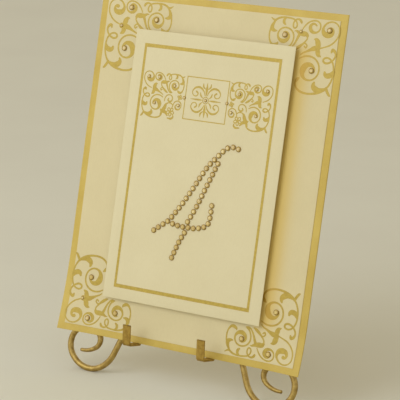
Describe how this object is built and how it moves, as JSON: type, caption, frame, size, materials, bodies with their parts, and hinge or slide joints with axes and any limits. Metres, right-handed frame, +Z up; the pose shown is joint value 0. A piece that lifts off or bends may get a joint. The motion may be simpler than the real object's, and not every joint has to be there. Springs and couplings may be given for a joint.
{
  "type": "table number holder",
  "caption": "Tabletop easel of gold wire with scroll feet and a folding rear leg, holding a layered, gold-bordered number card set with stones.",
  "frame": {"origin": "on the floor under the middle of the outline: midway across the card, midway between the front of the card hooks and the tip of the rear toe", "axes": "+Z up, front of the card towards -Y, +X to the viewer's right of the card"},
  "size_m": [0.2032, 0.1168, 0.2751],
  "materials": {
    "gold_wire": "antique gold, satin, rubbed lighter on the outer curves",
    "gold_strap": "antique gold, satin, mottled",
    "brass_pin": "satin",
    "gold_board": "pearlescent gold card",
    "ivory_card": "smooth ivory card stock, gold foil print",
    "white_foam": "closed-cell foam tape",
    "champagne_crystal": "foil-backed faceted crystal"
  },
  "bodies": {
    "easel_frame": {"left_scroll_leg": "gold_wire", "right_scroll_leg": "gold_wire", "lower_crossbar": "gold_strap", "rest_plate": "gold_strap", "left_card_hook": "gold_strap", "right_card_hook": "gold_strap", "hinge_bracket": "gold_strap", "hinge_pin": "brass_pin"},
    "rear_leg": {"rear_leg_rod": "gold_wire", "rear_leg_barrel": "gold_strap", "rear_leg_stop_heel": "gold_strap"},
    "number_card": {"gold_backing_board": "gold_board", "ivory_panel": "ivory_card", "foam_strips": "white_foam", "raised_card": "ivory_card", "number_stones": "champagne_crystal", "left_header_stones": "champagne_crystal", "right_header_stones": "champagne_crystal", "header_square_stones": "champagne_crystal", "top_left_corner_stones": "champagne_crystal", "top_right_corner_stones": "champagne_crystal", "bottom_left_corner_stones": "champagne_crystal", "bottom_right_corner_stones": "champagne_crystal"}
  },
  "joints": [
    {"name": "rear_leg_fold", "type": "hinge", "parent": "easel_frame", "child": "rear_leg", "pos_m": [0, 0.00561, 0.16287], "axis": [-1, 0, 0], "range_deg": [0, 33.1]},
    {"name": "card_lift", "type": "slide", "parent": "easel_frame", "child": "number_card", "axis": [0, 0.2529, 0.9675], "range_m": [0, 0.02]}
  ]
}
